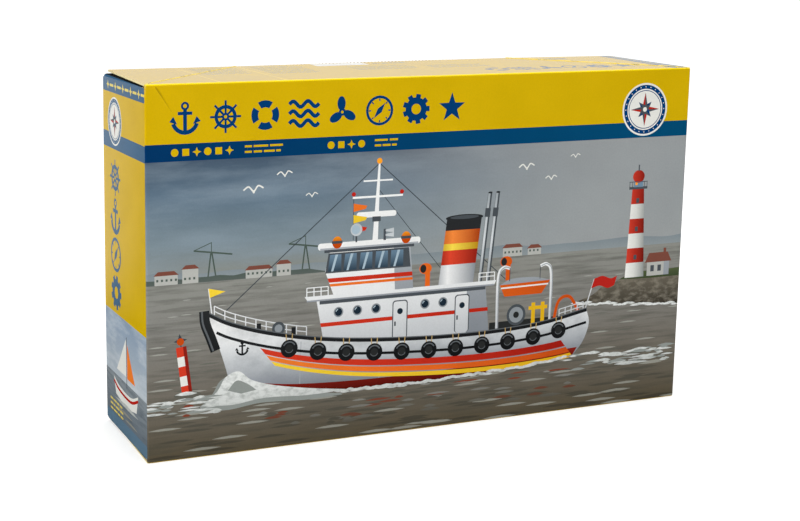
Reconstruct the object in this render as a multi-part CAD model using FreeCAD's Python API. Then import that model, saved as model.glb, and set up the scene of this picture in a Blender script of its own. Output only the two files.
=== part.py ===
"""Carton for a model kit: a lid and a tray of thin fluted board that slide into each other.

The carton stands on one long wall. X runs along its width, Y from the picture panel to the
tray's base, Z up. The origin is under the middle of the box. Lengths are in millimetres.
"""
import os

import FreeCAD
import Part

Vector = FreeCAD.Vector

# Outside of the closed box
box_width = 530.0
box_height = 318.0
box_depth = 125.0

# The board and its folds
board = 1.5
fold_share = 0.9            # outer rounding of a fold, of the board's thickness
corner_share = 1.2          # rounding where two folds of a panel meet, of the same
bend_inside = 0.8           # inner radius where a glue tab bends in from its end wall
rim_corner_radius = 2.5     # rounding of a long wall's free corner
corner_taper = 4.0          # how far a long wall's raw edge leans in from its fold to its rim

# Inside the board: two flat liners, and a wavy sheet that is glued between them
liner = 0.3
wavy_sheet = 0.25
flute_pitch = 3.6
flute_land = 0.3            # half of the glued crest between two channels
flute_shown = 5.0           # how far in the channels run from a raw rim
flute_margin = 2.5          # plain board beside a corner or crease, where the flutes are crushed
flute_overrun = 1.0

# The 45 degree creases that let a glued corner fold flat
groove_depth = 0.5
groove_half_width = 1.0
crease_overrun = 2.0

# Glue tabs
tab_reach = 62.0            # from the end wall's outer face
tab_setback = 3.0           # from the wall's free rim
tab_crease_margin = 2.0     # from the crease
tab_corner_radius = 5.0

# The lid's upper wall sags at the ends of its creases and bows up a little between them
left_sag = 3.5
right_sag = 2.5
rim_bow = 0.7

# How the tray fits the lid
side_gap = 1.2              # each side, tray to end wall
seat_gap = 0.3              # tray above the lid's lower glue tabs, and under its lowest edge
rim_gap = 1.0               # tray's rim behind the picture panel
base_recess = 0.5           # tray's base inside the lid's rim

half_width = box_width / 2
half_depth = box_depth / 2

flat = {"left": 0.0, "right": 0.0}
lid_sags = {"upper": {"left": left_sag, "right": right_sag}, "lower": flat}
tray_sags = {"upper": flat, "lower": flat}

nodes = {}


def solid_plate(corners, push):
    """A flat plate: a polygon moved along push."""
    return Part.Face(Part.makePolygon(corners + corners[:1])).extrude(push)


class Shell:
    """One open box of five panels, its mouth facing forward or back.

    Depth is counted from the outer face of the main panel to the free rim of the walls.
    """

    def __init__(self, name, main_panel, half_width, low, high, depth, face, facing, fluted):
        self.name = name
        self.main_panel = main_panel
        self.half_width = half_width
        self.low = low
        self.high = high
        self.depth = depth
        self.face = face
        self.facing = facing
        self.fluted = fluted
        self.crease_run = depth - board

    def at(self, x, depth, z):
        return Vector(x, self.face + self.facing * depth, z)

    def keep(self, piece, shape):
        nodes[f"{self.name}_{piece}"] = shape

    def build_main_panel(self):
        """The largest panel, with the rounded outside of its four folds."""
        start = self.at(-self.half_width, 0, self.low)
        size = Vector(2 * self.half_width, self.facing * board, self.high - self.low)
        panel = solid_plate(
            [
                start,
                start + Vector(size.x, 0, 0),
                start + Vector(size.x, 0, size.z),
                start + Vector(0, 0, size.z),
            ],
            Vector(0, size.y, 0),
        )
        corners = [edge for edge in panel.Edges if runs_along(edge, "y")]
        panel = panel.makeFillet(board * corner_share, corners)
        front = [edge for edge in panel.Edges if lies_at(edge, self.face)]
        self.keep(self.main_panel, panel.makeFillet(board * fold_share, front))

    def build_long_wall(self, place, outer, inward, sags, bow):
        """A long wall in three parts, split at its creases. inward is 1 if it thickens upwards."""
        thickness = Vector(0, 0, inward * board)
        mouth = self.half_width - self.crease_run
        rim_left = self.at(-mouth, self.depth, outer + inward * sags["left"])
        rim_right = self.at(mouth, self.depth, outer + inward * sags["right"])
        fold_left = self.at(-self.half_width, board, outer)
        fold_right = self.at(self.half_width, board, outer)
        if bow or sags != flat:
            middle = loft_plate(
                [fold_left, fold_right], [rim_left, rim_right], inward * bow, thickness
            )
        else:
            middle = solid_plate([fold_left, fold_right, rim_right, rim_left], thickness)
        for side, fold_end, rim_end in (
            ("left", fold_left, rim_left),
            ("right", fold_right, rim_right),
        ):
            groove = crease_groove(fold_end, rim_end, thickness)
            middle = middle.cut(groove)
            lean = corner_taper if side == "left" else -corner_taper
            free_corner = Vector(fold_end.x + lean, rim_end.y, outer)
            corner = solid_plate([fold_end, free_corner, rim_end], thickness)
            free_edge = [
                edge
                for edge in corner.Edges
                if runs_along(edge, "z") and passes(edge, free_corner)
            ]
            corner = corner.makeFillet(rim_corner_radius, free_edge).cut(groove)
            if self.fluted:
                ends = sorted((free_corner, rim_end), key=lambda point: point.x)
                corner = self.cut_flutes(corner, ends, inward, 0, 0)
            self.keep(f"{place}_wall_{side}_corner", corner)
        if self.fluted:
            rise = outer - (rim_left.z + rim_right.z) / 2
            middle = self.cut_flutes(middle, (rim_left, rim_right), inward, bow, rise)
        self.keep(f"{place}_wall_middle", middle)

    def cut_flutes(self, wall, ends, inward, bow, rise):
        """The channels of the core, cut into a raw rim between the two ends of its outer edge.

        rise is how much higher the wall lies at its fold than at the rim.
        """
        first, last = ends
        span = last.x - first.x
        count = int((span - 2 * flute_margin) / flute_pitch)
        margin = (span - count * flute_pitch) / 2
        half_base = flute_pitch / 2 - flute_land

        def rim_height(x):
            share = (x - first.x) / span
            return first.z + share * (last.z - first.z) - inward * bow * 4 * share * (1 - share)

        def rim_point(x, below):
            y = first.y + self.facing * flute_overrun
            return Vector(x, y, rim_height(x) + inward * below)

        length = flute_shown + flute_overrun
        into = Vector(0, -self.facing * length, rise * length / self.crease_run)
        channels = []
        for step in range(2 * count - 1):
            x = first.x + margin + (step + 1) * flute_pitch / 2
            if step % 2:
                base, tip = board - liner, liner + wavy_sheet
            else:
                base, tip = liner, board - liner - wavy_sheet
            corners = [
                rim_point(x - half_base, base),
                rim_point(x + half_base, base),
                rim_point(x, tip),
            ]
            channels.append(solid_plate(corners, into))
        return wall.cut(Part.makeCompound(channels))

    def tab_slope(self, sag):
        return sag / self.crease_run

    def bend_centre(self, outer, inward, sag):
        """Height of the centre of a glue tab's bend under the given long wall."""
        radius = bend_inside + board
        return outer + inward * (board + self.tab_slope(sag) * radius + radius)

    def build_end_wall(self, side, sags):
        sign = -1 if side == "left" else 1
        outer = sign * self.half_width
        low = self.bend_centre(self.low, 1, sags["lower"][side])
        high = self.bend_centre(self.high, -1, sags["upper"][side])
        wall = solid_plate(
            [
                self.at(outer, board, low),
                self.at(outer, self.depth, low),
                self.at(outer, self.depth, high),
                self.at(outer, board, high),
            ],
            Vector(-sign * board, 0, 0),
        )
        self.keep(f"{side}_end_wall", wall)

    def build_glue_tab(self, place, side, outer, inward, sag):
        """A tab that bends in from the end wall and lies against the wall's corner part."""
        sign = -1 if side == "left" else 1
        radius = bend_inside + board
        slope = self.tab_slope(sag)
        start = board + tab_crease_margin
        end = self.depth - tab_setback

        def on_wall(inset, depth):
            under = outer + inward * (board + slope * inset)
            return self.at(sign * (self.half_width - inset), depth, under)

        flap = solid_plate(
            [
                on_wall(radius, start + radius),
                on_wall(radius, end),
                on_wall(tab_reach, end),
                on_wall(tab_reach, start + tab_reach),
            ],
            Vector(0, 0, inward * board),
        )
        inner_end = on_wall(tab_reach, end).x
        inner_corners = [
            edge
            for edge in flap.Edges
            if runs_along(edge, "z") and abs(edge.CenterOfMass.x - inner_end) < board
        ]
        flap = flap.makeFillet(tab_corner_radius, inner_corners)
        centre = self.at(
            sign * (self.half_width - radius), start + radius, self.bend_centre(outer, inward, sag)
        )
        bend = quarter_bend(centre, radius, sign, inward, end - start - radius, self.facing)
        self.keep(f"{place}_{side}_glue_tab", flap.fuse(bend).removeSplitter())

    def build(self, sags, bow):
        self.build_main_panel()
        for place, outer, inward in (("upper", self.high, -1), ("lower", self.low, 1)):
            self.build_long_wall(place, outer, inward, sags[place], bow if place == "upper" else 0)
            for side in ("left", "right"):
                self.build_glue_tab(place, side, outer, inward, sags[place][side])
        for side in ("left", "right"):
            self.build_end_wall(side, sags)


def runs_along(edge, axis):
    """Whether a straight edge is parallel to an axis."""
    span = edge.Vertexes[-1].Point - edge.Vertexes[0].Point
    return abs(getattr(span, axis)) > span.Length / 2


def lies_at(edge, y):
    """Whether an edge lies in the plane of that Y."""
    box = edge.BoundBox
    return abs(box.YMin - y) + abs(box.YMax - y) < board / 2


def passes(edge, point):
    """Whether an edge has the point on it."""
    return edge.distToShape(Part.Vertex(point))[0] < board / 2


def loft_plate(fold, rim, bow, thickness):
    """A wall's middle part, ruled from its straight fold to its rim, which may bow."""
    middle = (rim[0] + rim[1]) / 2 - Vector(0, 0, bow)
    sections = []
    for start, end, centre in ((*fold, None), (*rim, middle if bow else None)):
        lines = []
        for first, last, push in ((start, end, Vector()), (end, start, thickness)):
            first, last = first + push, last + push
            if centre:
                lines.append(Part.Arc(first, centre + push, last).toShape())
            else:
                lines.append(Part.makeLine(first, last))
        lines.insert(1, Part.makeLine(end, end + thickness))
        lines.append(Part.makeLine(start + thickness, start))
        sections.append(Part.Wire(lines))
    return Part.makeLoft(sections, True, True)


def crease_groove(fold_end, rim_end, thickness):
    """The V that the creasing rule presses into the inside of the board."""
    along = (rim_end - fold_end).normalize()
    inner = (thickness / board).normalize()
    across = along.cross(inner).normalize() * groove_half_width
    start = fold_end + thickness - along * crease_overrun
    length = (rim_end - fold_end).Length + 2 * crease_overrun
    widen = (groove_depth + crease_overrun) / groove_depth
    section = [
        start - inner * groove_depth,
        start + inner * crease_overrun + across * widen,
        start + inner * crease_overrun - across * widen,
    ]
    return solid_plate(section, along * length)


def quarter_bend(centre, radius, sign, inward, length, facing):
    """A quarter turn of board, from the end wall's top edge to the start of the tab."""
    outside = Part.makeCylinder(radius, length, centre, Vector(0, facing, 0))
    inside = Part.makeCylinder(radius - board, length, centre, Vector(0, facing, 0))
    corner = solid_plate(
        [
            centre,
            centre + Vector(sign * radius, 0, 0),
            centre + Vector(sign * radius, 0, -inward * radius),
            centre + Vector(0, 0, -inward * radius),
        ],
        Vector(0, facing * length, 0),
    )
    return outside.cut(inside).common(corner)


lid = Shell(
    name="lid",
    main_panel="picture_panel",
    half_width=half_width,
    low=0.0,
    high=box_height,
    depth=box_depth,
    face=-half_depth,
    facing=1,
    fluted=True,
)

# The tray stands on the lid's lower tabs and stays under the lowest edge of its upper wall.
lowest_sag = max(left_sag, right_sag)
tab_drop = board + lowest_sag * tab_reach / lid.crease_run
tray = Shell(
    name="tray",
    main_panel="base_panel",
    half_width=half_width - board - side_gap,
    low=2 * board + seat_gap,
    high=box_height - board - max(lowest_sag, tab_drop) - seat_gap,
    depth=box_depth - board - rim_gap - base_recess,
    face=half_depth - base_recess,
    facing=-1,
    fluted=False,
)

lid.build(lid_sags, rim_bow)
tray.build(tray_sags, 0)

os.makedirs("parts", exist_ok=True)
for name, shape in nodes.items():
    shape.exportStep(f"parts/{name}.step")
print(f"{len(nodes)} pieces")
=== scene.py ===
import math
import random

import bpy
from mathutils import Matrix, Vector, noise
from mathutils.geometry import delaunay_2d_cdt


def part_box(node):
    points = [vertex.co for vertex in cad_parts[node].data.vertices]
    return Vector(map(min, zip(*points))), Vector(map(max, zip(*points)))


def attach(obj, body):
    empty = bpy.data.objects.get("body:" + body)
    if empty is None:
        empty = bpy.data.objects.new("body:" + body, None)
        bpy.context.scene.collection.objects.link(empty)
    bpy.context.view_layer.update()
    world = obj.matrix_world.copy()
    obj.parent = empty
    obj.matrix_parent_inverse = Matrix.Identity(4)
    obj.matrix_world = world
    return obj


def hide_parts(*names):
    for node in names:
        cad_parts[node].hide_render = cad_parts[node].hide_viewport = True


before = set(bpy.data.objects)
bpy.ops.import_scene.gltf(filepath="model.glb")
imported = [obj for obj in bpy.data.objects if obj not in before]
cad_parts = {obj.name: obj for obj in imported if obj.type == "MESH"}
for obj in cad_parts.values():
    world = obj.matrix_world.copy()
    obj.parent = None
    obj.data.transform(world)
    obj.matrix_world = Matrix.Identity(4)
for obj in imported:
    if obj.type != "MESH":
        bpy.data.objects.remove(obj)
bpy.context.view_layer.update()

mm = 0.001
halfTurn = math.pi
root2 = math.sqrt(2)
signOf = {"left": -1, "right": 1}
print("carton: frame loaded")


# Everything below is drawn in millimetres, in the frame's own axes

def boxInMm(node):
    low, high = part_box(node)
    return low / mm, high / mm


def readShell(name, mainPanel, facing, **look):
    # One open box of the two. facing is 1 if its mouth looks back, -1 if it looks forward
    low, high = boxInMm(f"{name}_{mainPanel}")
    face = low.y if facing > 0 else high.y
    depth = abs(boxInMm(f"{name}_lower_wall_middle")[1 if facing > 0 else 0].y - face)
    board = high.y - low.y
    return look | {
        "name": name, "mainPanel": mainPanel, "facing": facing, "board": board, "halfWidth": high.x,
        "low": low.z, "high": high.z, "face": face, "depth": depth, "run": depth - board,
    }


# lifts says how far the upper wall's rim springs up at each side: at the raw edge over the end
# wall, and at the crease. ridge is the raised line of a crease, and bulge is the end walls'
lid = readShell(
    "lid", "picture_panel", 1, lifts={"left": (1.6, 1.4), "right": (1.8, 2.5)}, bow=0.7, ridge=0.5,
    bulge=0.5, outside=None, inside="insideLiner", edge="whiteLiner", slot="printed_board",
)
tray = readShell(
    "tray", "base_panel", -1, lifts={"left": (0.0, 0.0), "right": (0.0, 0.0)}, bow=0.0, ridge=0.12,
    bulge=0.0, outside="kraftLiner", inside="kraftLiner", edge="corePaper", slot="plain_board",
)


# Camera, fitted to the corners that show

cameraLook = {
    "place": (-607.2, -1189.9, 431.6),
    "turn": (80.15, -0.35, -21.81),   # degrees
    "lens": 66.2,
    "sensor": 36.0,
    "shift": (0.16, -0.08),
}
camera = bpy.data.objects.new("camera", bpy.data.cameras.new("camera"))
camera.location = Vector(cameraLook["place"]) * mm
camera.rotation_euler = [math.radians(angle) for angle in cameraLook["turn"]]
camera.data.lens = cameraLook["lens"]
camera.data.sensor_width = cameraLook["sensor"]
camera.data.shift_x, camera.data.shift_y = cameraLook["shift"]
bpy.context.scene.collection.objects.link(camera)
bpy.context.scene.camera = camera


# Nodes and colours

def toLinear(hexColour):
    channels = [int(hexColour[i:i + 2], 16) / 255 for i in (1, 3, 5)]
    return [c / 12.92 if c <= 0.04045 else ((c + 0.055) / 1.055) ** 2.4 for c in channels] + [1.0]


def addNode(tree, kind, inputs=None, **settings):
    # inputs maps a socket's name or number to a value, to the socket that feeds it, or to a node,
    # which feeds it from its first output
    node = tree.nodes.new(f"ShaderNode{kind}")
    for setting, value in settings.items():
        setattr(node, setting, value)
    for socket, value in (inputs or {}).items():
        if isinstance(value, bpy.types.Node):
            value = value.outputs[0]
        if isinstance(value, bpy.types.NodeSocket):
            tree.links.new(value, node.inputs[socket])
        else:
            node.inputs[socket].default_value = value
    return node


def newMaterial(name):
    material = bpy.data.materials.new(name)
    material.use_nodes = True
    material.node_tree.nodes.clear()
    return material, material.node_tree


def perMm(size):
    # A pattern's scale, so that one of its cells measures size millimetres
    return 1 / (size * mm)


def ramp(start, end):
    # A change from one place and value to another
    return {"From Min": start[0], "To Min": start[1], "From Max": end[0], "To Max": end[1]}


def rampAlong(tree, where, look):
    # Colour stops at places in mm along the object's x or z
    axis = "x" if "x" in look else "z"
    first, last = look[axis][0][0], look[axis][-1][0]
    split = addNode(tree, "SeparateXYZ", {0: where})
    share = addNode(tree, "MapRange", {
        "Value": split.outputs[axis.upper()], **ramp((first * mm, 0), (last * mm, 1)),
    })
    colours = addNode(tree, "ValToRGB", {0: share})
    stops = colours.color_ramp.elements
    for place, colour in look[axis][1:-1]:
        stops.new((place - first) / (last - first))
    for stop, (place, colour) in zip(stops, look[axis]):
        stop.color = toLinear(colour)
    return colours


airbrush = {"thin": 0.45, "full": 0.68, "detail": 5.0, "roughness": 0.6}


def overprint(tree, where, colour, ink):
    # A second ink, which fades in along the width or lies in soft patches or streaks
    if "from" in ink:
        split = addNode(tree, "SeparateXYZ", {0: where})
        share = addNode(tree, "MapRange", {
            "Value": split, **ramp((ink["from"] * mm, 0), (ink["to"] * mm, ink["amount"])),
        }, interpolation_type="SMOOTHSTEP")
    else:
        long, high = (perMm(size) for size in ink["size"])
        stretch = addNode(tree, "Mapping", {"Vector": where, "Scale": (long, long, high)})
        patches = addNode(tree, "TexNoise", {
            "Vector": stretch, "Scale": 1.0, "Detail": airbrush["detail"], "Roughness": airbrush["roughness"],
        })
        share = addNode(tree, "MapRange", {
            "Value": patches, **ramp((airbrush["thin"], 0), (airbrush["full"], ink["amount"])),
        })
    return addNode(tree, "Mix", {
        "Factor": share, "A": colour, "B": toLinear(ink["colour"]),
    }, data_type="RGBA").outputs["Result"]


def addTone(tree, pattern, strength, colour):
    # The colour a little darker and lighter with a pattern
    change = addNode(tree, "MapRange", {
        "Value": pattern, **ramp((0.3, 1 - strength), (0.7, 1 + strength)),
    })
    return addNode(tree, "HueSaturation", {"Value": change, "Color": colour})


# Offset print on white-lined board, gloss varnished: even ink that is slightly cloudy over a
# hand's width, a soft shine that the fibres under the varnish break up, and bare paper in
# specks where a fold has cracked the ink

offsetPrint = {
    "paper": "#E9E0C8",
    "cloud": 38.0,            # mm, size of the cloudiness in the ink film
    "cloudStrength": 0.035,
    "grain": 1.6,             # mm, the fibres are finer and are drawn this coarse to show
    "grainStrength": 0.03,
    "grainHeight": 0.010,     # mm
    "fluteHeight": 0.010,     # mm, the core shows through the liner as a faint washboard
    "speck": 0.9,             # mm
    "cracked": (1.18, 1.34),  # speck and wear together, where the ink starts to go and is gone
    "roughness": 0.16,
    "sheen": 0.03,            # how much the roughness changes with the cloudiness
    "ior": 1.32,
    "coat": 0.03,
    "coatRoughness": 0.2,
}


def printedInk(name, look):
    if isinstance(look, str):
        look = {"colour": look}
    material, tree = newMaterial(f"offsetPrint-{name}")
    where = addNode(tree, "TexCoord").outputs["Object"]
    cloud = addNode(tree, "TexNoise", {"Vector": where, "Scale": perMm(offsetPrint["cloud"]), "Detail": 3.0})
    grain = addNode(tree, "TexNoise", {"Vector": where, "Scale": perMm(offsetPrint["grain"]), "Detail": 2.0})
    colour = toLinear(look["colour"]) if "colour" in look else rampAlong(tree, where, look)
    for ink in look.get("over", ()):
        colour = overprint(tree, where, colour, ink)
    colour = addTone(tree, cloud, offsetPrint["cloudStrength"], colour)
    colour = addTone(tree, grain, offsetPrint["grainStrength"], colour)
    wear = addNode(tree, "Attribute", attribute_name="wear")
    speck = addNode(tree, "TexNoise", {
        "Vector": where, "Scale": perMm(offsetPrint["speck"]), "Detail": 4.0, "Roughness": 0.7,
    })
    worn = addNode(tree, "Math", {0: speck, 1: wear.outputs["Fac"]}, operation="ADD")
    start, bare = offsetPrint["cracked"]
    cracked = addNode(tree, "MapRange", {"Value": worn, **ramp((start, 0), (bare, 1))})
    inked = addNode(tree, "Mix", {
        "Factor": cracked, "A": colour, "B": toLinear(offsetPrint["paper"]),
    }, data_type="RGBA")
    # At scale 1 a wave repeats 20 times in 2 pi metres
    washboard = addNode(tree, "TexWave", {
        "Vector": where, "Scale": perMm(flutes["pitch"]) * 2 * halfTurn / 20,
        "Distortion": 0.4, "Detail": 1.0,
    }, bands_direction="X")
    fluted = addNode(tree, "Bump", {
        "Height": washboard.outputs["Fac"], "Distance": offsetPrint["fluteHeight"] * mm,
    })
    fibres = addNode(tree, "Bump", {
        "Height": grain, "Distance": offsetPrint["grainHeight"] * mm, "Normal": fluted,
    })
    roughness, sheen = look.get("roughness", offsetPrint["roughness"]), offsetPrint["sheen"]
    shine = addNode(tree, "MapRange", {
        "Value": cloud, "To Min": roughness - sheen, "To Max": roughness + sheen,
    })
    shader = addNode(tree, "BsdfPrincipled", {
        "Base Color": inked.outputs["Result"], "Roughness": shine, "IOR": offsetPrint["ior"],
        "Coat Weight": offsetPrint["coat"], "Coat Roughness": offsetPrint["coatRoughness"],
        "Normal": fibres,
    })
    addNode(tree, "OutputMaterial", {"Surface": shader})
    return material


# Kraft liner and core paper, machine made: brown, matt, with longer fibres that lie mostly one
# way and a few dark flecks

kraftPaper = {
    "fibre": (7.0, 1.3),      # mm, length and width, drawn coarser than they are
    "cloud": 45.0,            # mm
    "cloudStrength": 0.07,
    "fleck": 2.2,             # mm
    "fleckEdge": (0.02, 0.10),
    "fleckStrength": 0.45,
    "fibreHeight": 0.03,      # mm
    "ior": 1.47,
    "roughness": 0.86,
}


def bareBoard(name, look):
    material, tree = newMaterial(f"kraftPaper-{name}")
    where = addNode(tree, "TexCoord").outputs["Object"]
    length, width = (perMm(size) for size in kraftPaper["fibre"])
    stretch = addNode(tree, "Mapping", {"Vector": where, "Scale": (width, width, length)})
    fibre = addNode(tree, "TexNoise", {"Vector": stretch, "Scale": 1.0, "Detail": 3.0})
    cloud = addNode(tree, "TexNoise", {"Vector": where, "Scale": perMm(kraftPaper["cloud"]), "Detail": 2.0})
    fleck = addNode(tree, "TexVoronoi", {"Vector": where, "Scale": perMm(kraftPaper["fleck"])})
    light = addNode(tree, "Mix", {
        "Factor": fibre, "A": toLinear(look["dark"]), "B": toLinear(look["light"]),
    }, data_type="RGBA")
    toned = addTone(tree, cloud, kraftPaper["cloudStrength"], light.outputs["Result"])
    inner, outer = kraftPaper["fleckEdge"]
    spot = addNode(tree, "MapRange", {
        "Value": fleck, **ramp((inner, kraftPaper["fleckStrength"]), (outer, 0)),
    })
    flecked = addNode(tree, "Mix", {
        "Factor": spot, "A": toned, "B": toLinear(look["fleck"]),
    }, data_type="RGBA")
    bump = addNode(tree, "Bump", {"Height": fibre, "Distance": kraftPaper["fibreHeight"] * mm})
    shader = addNode(tree, "BsdfPrincipled", {
        "Base Color": flecked.outputs["Result"], "Roughness": kraftPaper["roughness"],
        "IOR": kraftPaper["ior"], "Normal": bump,
    })
    addNode(tree, "OutputMaterial", {"Surface": shader})
    return material


papers = {
    "kraftLiner": {"dark": "#A07C52", "light": "#C09B6C", "fleck": "#6E4F30"},
    "insideLiner": {"dark": "#A48F73", "light": "#C2AE90", "fleck": "#75624A"},
    "corePaper": {"dark": "#866642", "light": "#A5835A", "fleck": "#5C4228"},
    "whiteLiner": {"dark": "#D9CA94", "light": "#F0E3B2", "fleck": "#B5A478"},
}

# An ink is a colour, or has colour stops along x or z and perhaps other inks over it
inks = {
    "headerYellow": "#D2AD00",
    "hairlineYellow": "#F5CF10",
    # painted shade for the buckle at the upper left corner
    "pressedYellow": "#AE8E00",
    # A painted highlight, lighter than the header, for rounded folds and crease ridges
    "foldYellow": "#F4D606",
    "titleBlue": "#003A70",
    "endBlue": "#386183",
    "footBlue": "#5F7B90",
    "bandBlue": {"x": ((-265, "#003362"), (265, "#004B72"))},
    # painted shadow on a glue tab's bend, under the long wall's raw edge
    "bleed": {"colour": "#05090E", "roughness": 0.9},
    "labelWhite": "#E6E6E0",
    "labelYellow": "#E3CF6A",
    "smallPrint": "#8B8149",
    "scuff": "#6B5A1C",
    "teal": "#2F7E8C",
    "signRed": "#B8231B",
    "sky": {
        "z": ((152, "#8A8C84"), (185, "#77878F"), (225, "#5F7486"), (254, "#47586A")),
        "over": (
            {"colour": "#8D9DA9", "size": (150, 30), "amount": 0.5},
            {"colour": "#9CA0A1", "from": -170, "to": 190, "amount": 0.92},
        ),
    },
    "sea": {
        "z": ((0, "#584F3D"), (60, "#736E65"), (115, "#868580"), (152, "#8E8F89")),
        "over": ({"colour": "#46473F", "size": (60, 4), "amount": 0.5},),
    },
    "crestLight": {"z": ((0, "#8C8B80"), (150, "#A9ABA5"))},
    "crestDark": {"z": ((0, "#454034"), (150, "#81837C"))},
    "foam": {
        "z": ((25, "#B4B8B5"), (62, "#E4E7E5")),
        "over": ({"colour": "#8D9490", "size": (7, 4), "amount": 0.6},),
    },
    "foamShade": "#8F9591",
    "reflection": {"z": ((14, "#57544A"), (44, "#8F8F89"))},
    "redReflection": {"z": ((14, "#5A4538"), (44, "#84402F"))},
    "shoreFar": {"z": ((152, "#8D9699"), (168, "#76838C"))},
    "shoreNear": {"z": ((150, "#5C6461"), (160, "#4C5A52"))},
    "shoreWall": "#B5B6B1",
    "shoreRoof": "#7C4A3E",
    "rock": {
        "z": ((92, "#35312A"), (125, "#6E685B")),
        "over": ({"colour": "#8E887A", "size": (9, 5), "amount": 0.7},),
    },
    "grass": {"z": ((118, "#39452E"), (132, "#5A6643"))},
    "towerWhite": {"x": ((203, "#F0F0EB"), (212, "#D9DAD5"), (223, "#8F9492"))},
    "towerRed": {"x": ((203, "#D2412F"), (212, "#B02D20"), (223, "#6A170F"))},
    "hull": {
        "z": ((44, "#6A6F74"), (62, "#9499A0"), (80, "#C6CACD"), (98, "#E4E6E7"), (122, "#F2F2F1")),
        "over": ({"colour": "#7F858B", "size": (24, 18), "amount": 0.35},),
    },
    "hullSeam": "#A4A9AE",
    "bootTop": {"z": ((43, "#4A0D09"), (62, "#8C2016"))},
    "stripeRed": {"x": ((-190, "#D23A22"), (0, "#C22A18"), (165, "#98170D"))},
    "stripeOrange": {"x": ((-190, "#F08030"), (0, "#E5661C"), (165, "#C24710"))},
    "stripeYellow": {"x": ((-190, "#F6D338"), (165, "#DDAA12"))},
    "rubberBlack": {"z": ((50, "#0C0D0E"), (125, "#2A2C2E"))},
    "rubberSheen": "#5F6468",
    "rope": "#B79B67",
    "house": {"z": ((84, "#BFC3C7"), (130, "#E6E8E9"), (176, "#F1F2F1"))},
    "houseSide": {"z": ((84, "#82888F"), (176, "#AAB0B6"))},
    "houseDark": "#4B5157",
    "glass": {"z": ((88, "#1A2733"), (150, "#20303E"), (168, "#6E8AA0"))},
    "glassGlare": "#A9BECB",
    "chromeDark": "#4A5055",
    "chrome": {"z": ((130, "#8D9499"), (170, "#D5DADD"), (210, "#A0A7AC"))},
    "amber": {"z": ((176, "#C2470A"), (184, "#FFA326"))},
    "funnelRed": {"x": ((4, "#8E1D12"), (16, "#E0452C"), (45, "#8A1A10"))},
    "funnelOrange": {"x": ((4, "#B34A14"), (18, "#F68B3C"), (45, "#A83E0E"))},
    "funnelYellow": {"x": ((4, "#B88A12"), (18, "#FADD4C"), (45, "#B5850F"))},
    "funnelWhite": {"x": ((2, "#9CA2A8"), (14, "#F0F1F1"), (42, "#868C93"))},
    "rigging": "#3C434A",
    "deckShadow": "#2A2C2C",
    "endSky": {
        "z": ((50, "#B4BEC6"), (106, "#8C9FB4")),
        "over": ({"colour": "#D3DAE0", "size": (60, 14), "amount": 0.6},),
    },
    "endSea": {
        "z": ((5, "#5F6A74"), (55, "#8D969C")),
        "over": ({"colour": "#4A545C", "size": (30, 3), "amount": 0.5},),
    },
}

finishes = {}


def finish(name):
    if name not in finishes:
        finishes[name] = bareBoard(name, papers[name]) if name in papers else printedInk(name, inks[name])
    return finishes[name]


# Surfaces. Each is a dictionary: point(u, v) gives the outer face, and side is 1 if u, v and
# the outward normal are right handed

def surfaceFrame(surface, u, v):
    step, point = 0.02, surface["point"]
    alongU = point(u + step, v) - point(u - step, v)
    alongV = point(u, v + step) - point(u, v - step)
    return point(u, v), alongU.cross(alongV).normalized() * surface["side"]


def patchy(x, y, size, layer):
    # A slow random change from 0 to 1, the same in each run
    return 0.5 + 0.5 * noise.noise(Vector((x / size, y / size, layer)))


def fadeIn(distance, width):
    share = min(1.0, max(0.0, distance / width))
    return share * share * (3 - 2 * share)


def nowhere(u, v):
    return 0.0


panelLook = {
    "foldRadius": 0.9,        # of the board's thickness, as the next one
    "cornerRadius": 1.2,
    "slack": 0.35,            # the large panel isn't quite flat
    "slackSize": 150.0,
    "slackEdge": (2, 30),     # flat up to here from a fold, and how wide the slack fades in
    "knock": ((-256.0, 315.6), (-241.0, 293.0)),    # a buckle at the upper left corner, raised
    "knockHeight": 0.75,
    "knockWidth": 0.9,
    "knockEdge": (1.8, 2),
}


def pictureWave(x, z):
    fromEdge = min(lid["halfWidth"] - abs(x), z - lid["low"], lid["high"] - z)
    slack = panelLook["slack"] * (2 * patchy(x, z, panelLook["slackSize"], 1.5) - 1)
    start, end = (Vector(point) for point in panelLook["knock"])
    line = end - start
    share = min(1.0, max(0.0, (Vector((x, z)) - start).dot(line) / line.length_squared))
    distance = (Vector((x, z)) - start - line * share).length
    knock = panelLook["knockHeight"] * math.exp(-((distance / panelLook["knockWidth"]) ** 2))
    (flat, slackWidth), (kept, knockWidth) = panelLook["slackEdge"], panelLook["knockEdge"]
    slack *= fadeIn(fromEdge - flat, slackWidth)
    return slack - knock * (1 - share) * fadeIn(fromEdge - kept, knockWidth)


lid["wave"] = pictureWave
tray["wave"] = nowhere


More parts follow.
